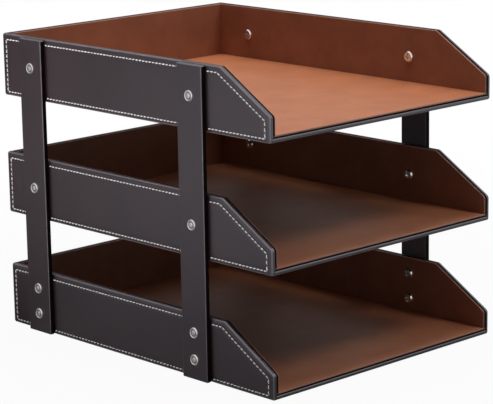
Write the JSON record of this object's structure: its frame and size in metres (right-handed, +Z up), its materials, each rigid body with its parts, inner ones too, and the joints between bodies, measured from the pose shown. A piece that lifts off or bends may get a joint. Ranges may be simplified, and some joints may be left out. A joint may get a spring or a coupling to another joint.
{
  "type": "tiered letter tray",
  "caption": "Leather-covered tiered letter tray: open-front document trays with sloped side walls, screwed between flat posts, for a desk.",
  "frame": {"origin": "on the ground under the middle of the trays' footprint", "axes": "+Z up, the open front of the trays faces -Y, +X is the right-hand side seen from the front"},
  "size_m": [0.2612, 0.321, 0.251],
  "materials": {
    "outer_leather": "satin, fine grain",
    "inner_lining": "matte, smooth",
    "fibreboard": "raw, matte",
    "nut_metal": "satin",
    "screw_metal": "bright"
  },
  "bodies": {
    "root": {"lower_floor_board": "fibreboard", "lower_left_board": "fibreboard", "lower_right_board": "fibreboard", "lower_back_board": "fibreboard", "lower_outer_cover": "outer_leather", "lower_floor_lining": "inner_lining", "lower_left_lining": "inner_lining", "lower_right_lining": "inner_lining", "lower_back_lining": "inner_lining", "middle_floor_board": "fibreboard", "middle_left_board": "fibreboard", "middle_right_board": "fibreboard", "middle_back_board": "fibreboard", "middle_outer_cover": "outer_leather", "middle_floor_lining": "inner_lining", "middle_left_lining": "inner_lining", "middle_right_lining": "inner_lining", "middle_back_lining": "inner_lining", "upper_floor_board": "fibreboard", "upper_left_board": "fibreboard", "upper_right_board": "fibreboard", "upper_back_board": "fibreboard", "upper_outer_cover": "outer_leather", "upper_floor_lining": "inner_lining", "upper_left_lining": "inner_lining", "upper_right_lining": "inner_lining", "upper_back_lining": "inner_lining", "front_left_post_core": "fibreboard", "front_left_post_cover": "outer_leather", "front_left_sleeve_nuts": "nut_metal", "front_left_screws": "screw_metal", "front_right_post_core": "fibreboard", "front_right_post_cover": "outer_leather", "front_right_sleeve_nuts": "nut_metal", "front_right_screws": "screw_metal", "rear_left_post_core": "fibreboard", "rear_left_post_cover": "outer_leather", "rear_left_sleeve_nuts": "nut_metal", "rear_left_screws": "screw_metal", "rear_right_post_core": "fibreboard", "rear_right_post_cover": "outer_leather", "rear_right_sleeve_nuts": "nut_metal", "rear_right_screws": "screw_metal"}
  },
  "joints": []
}
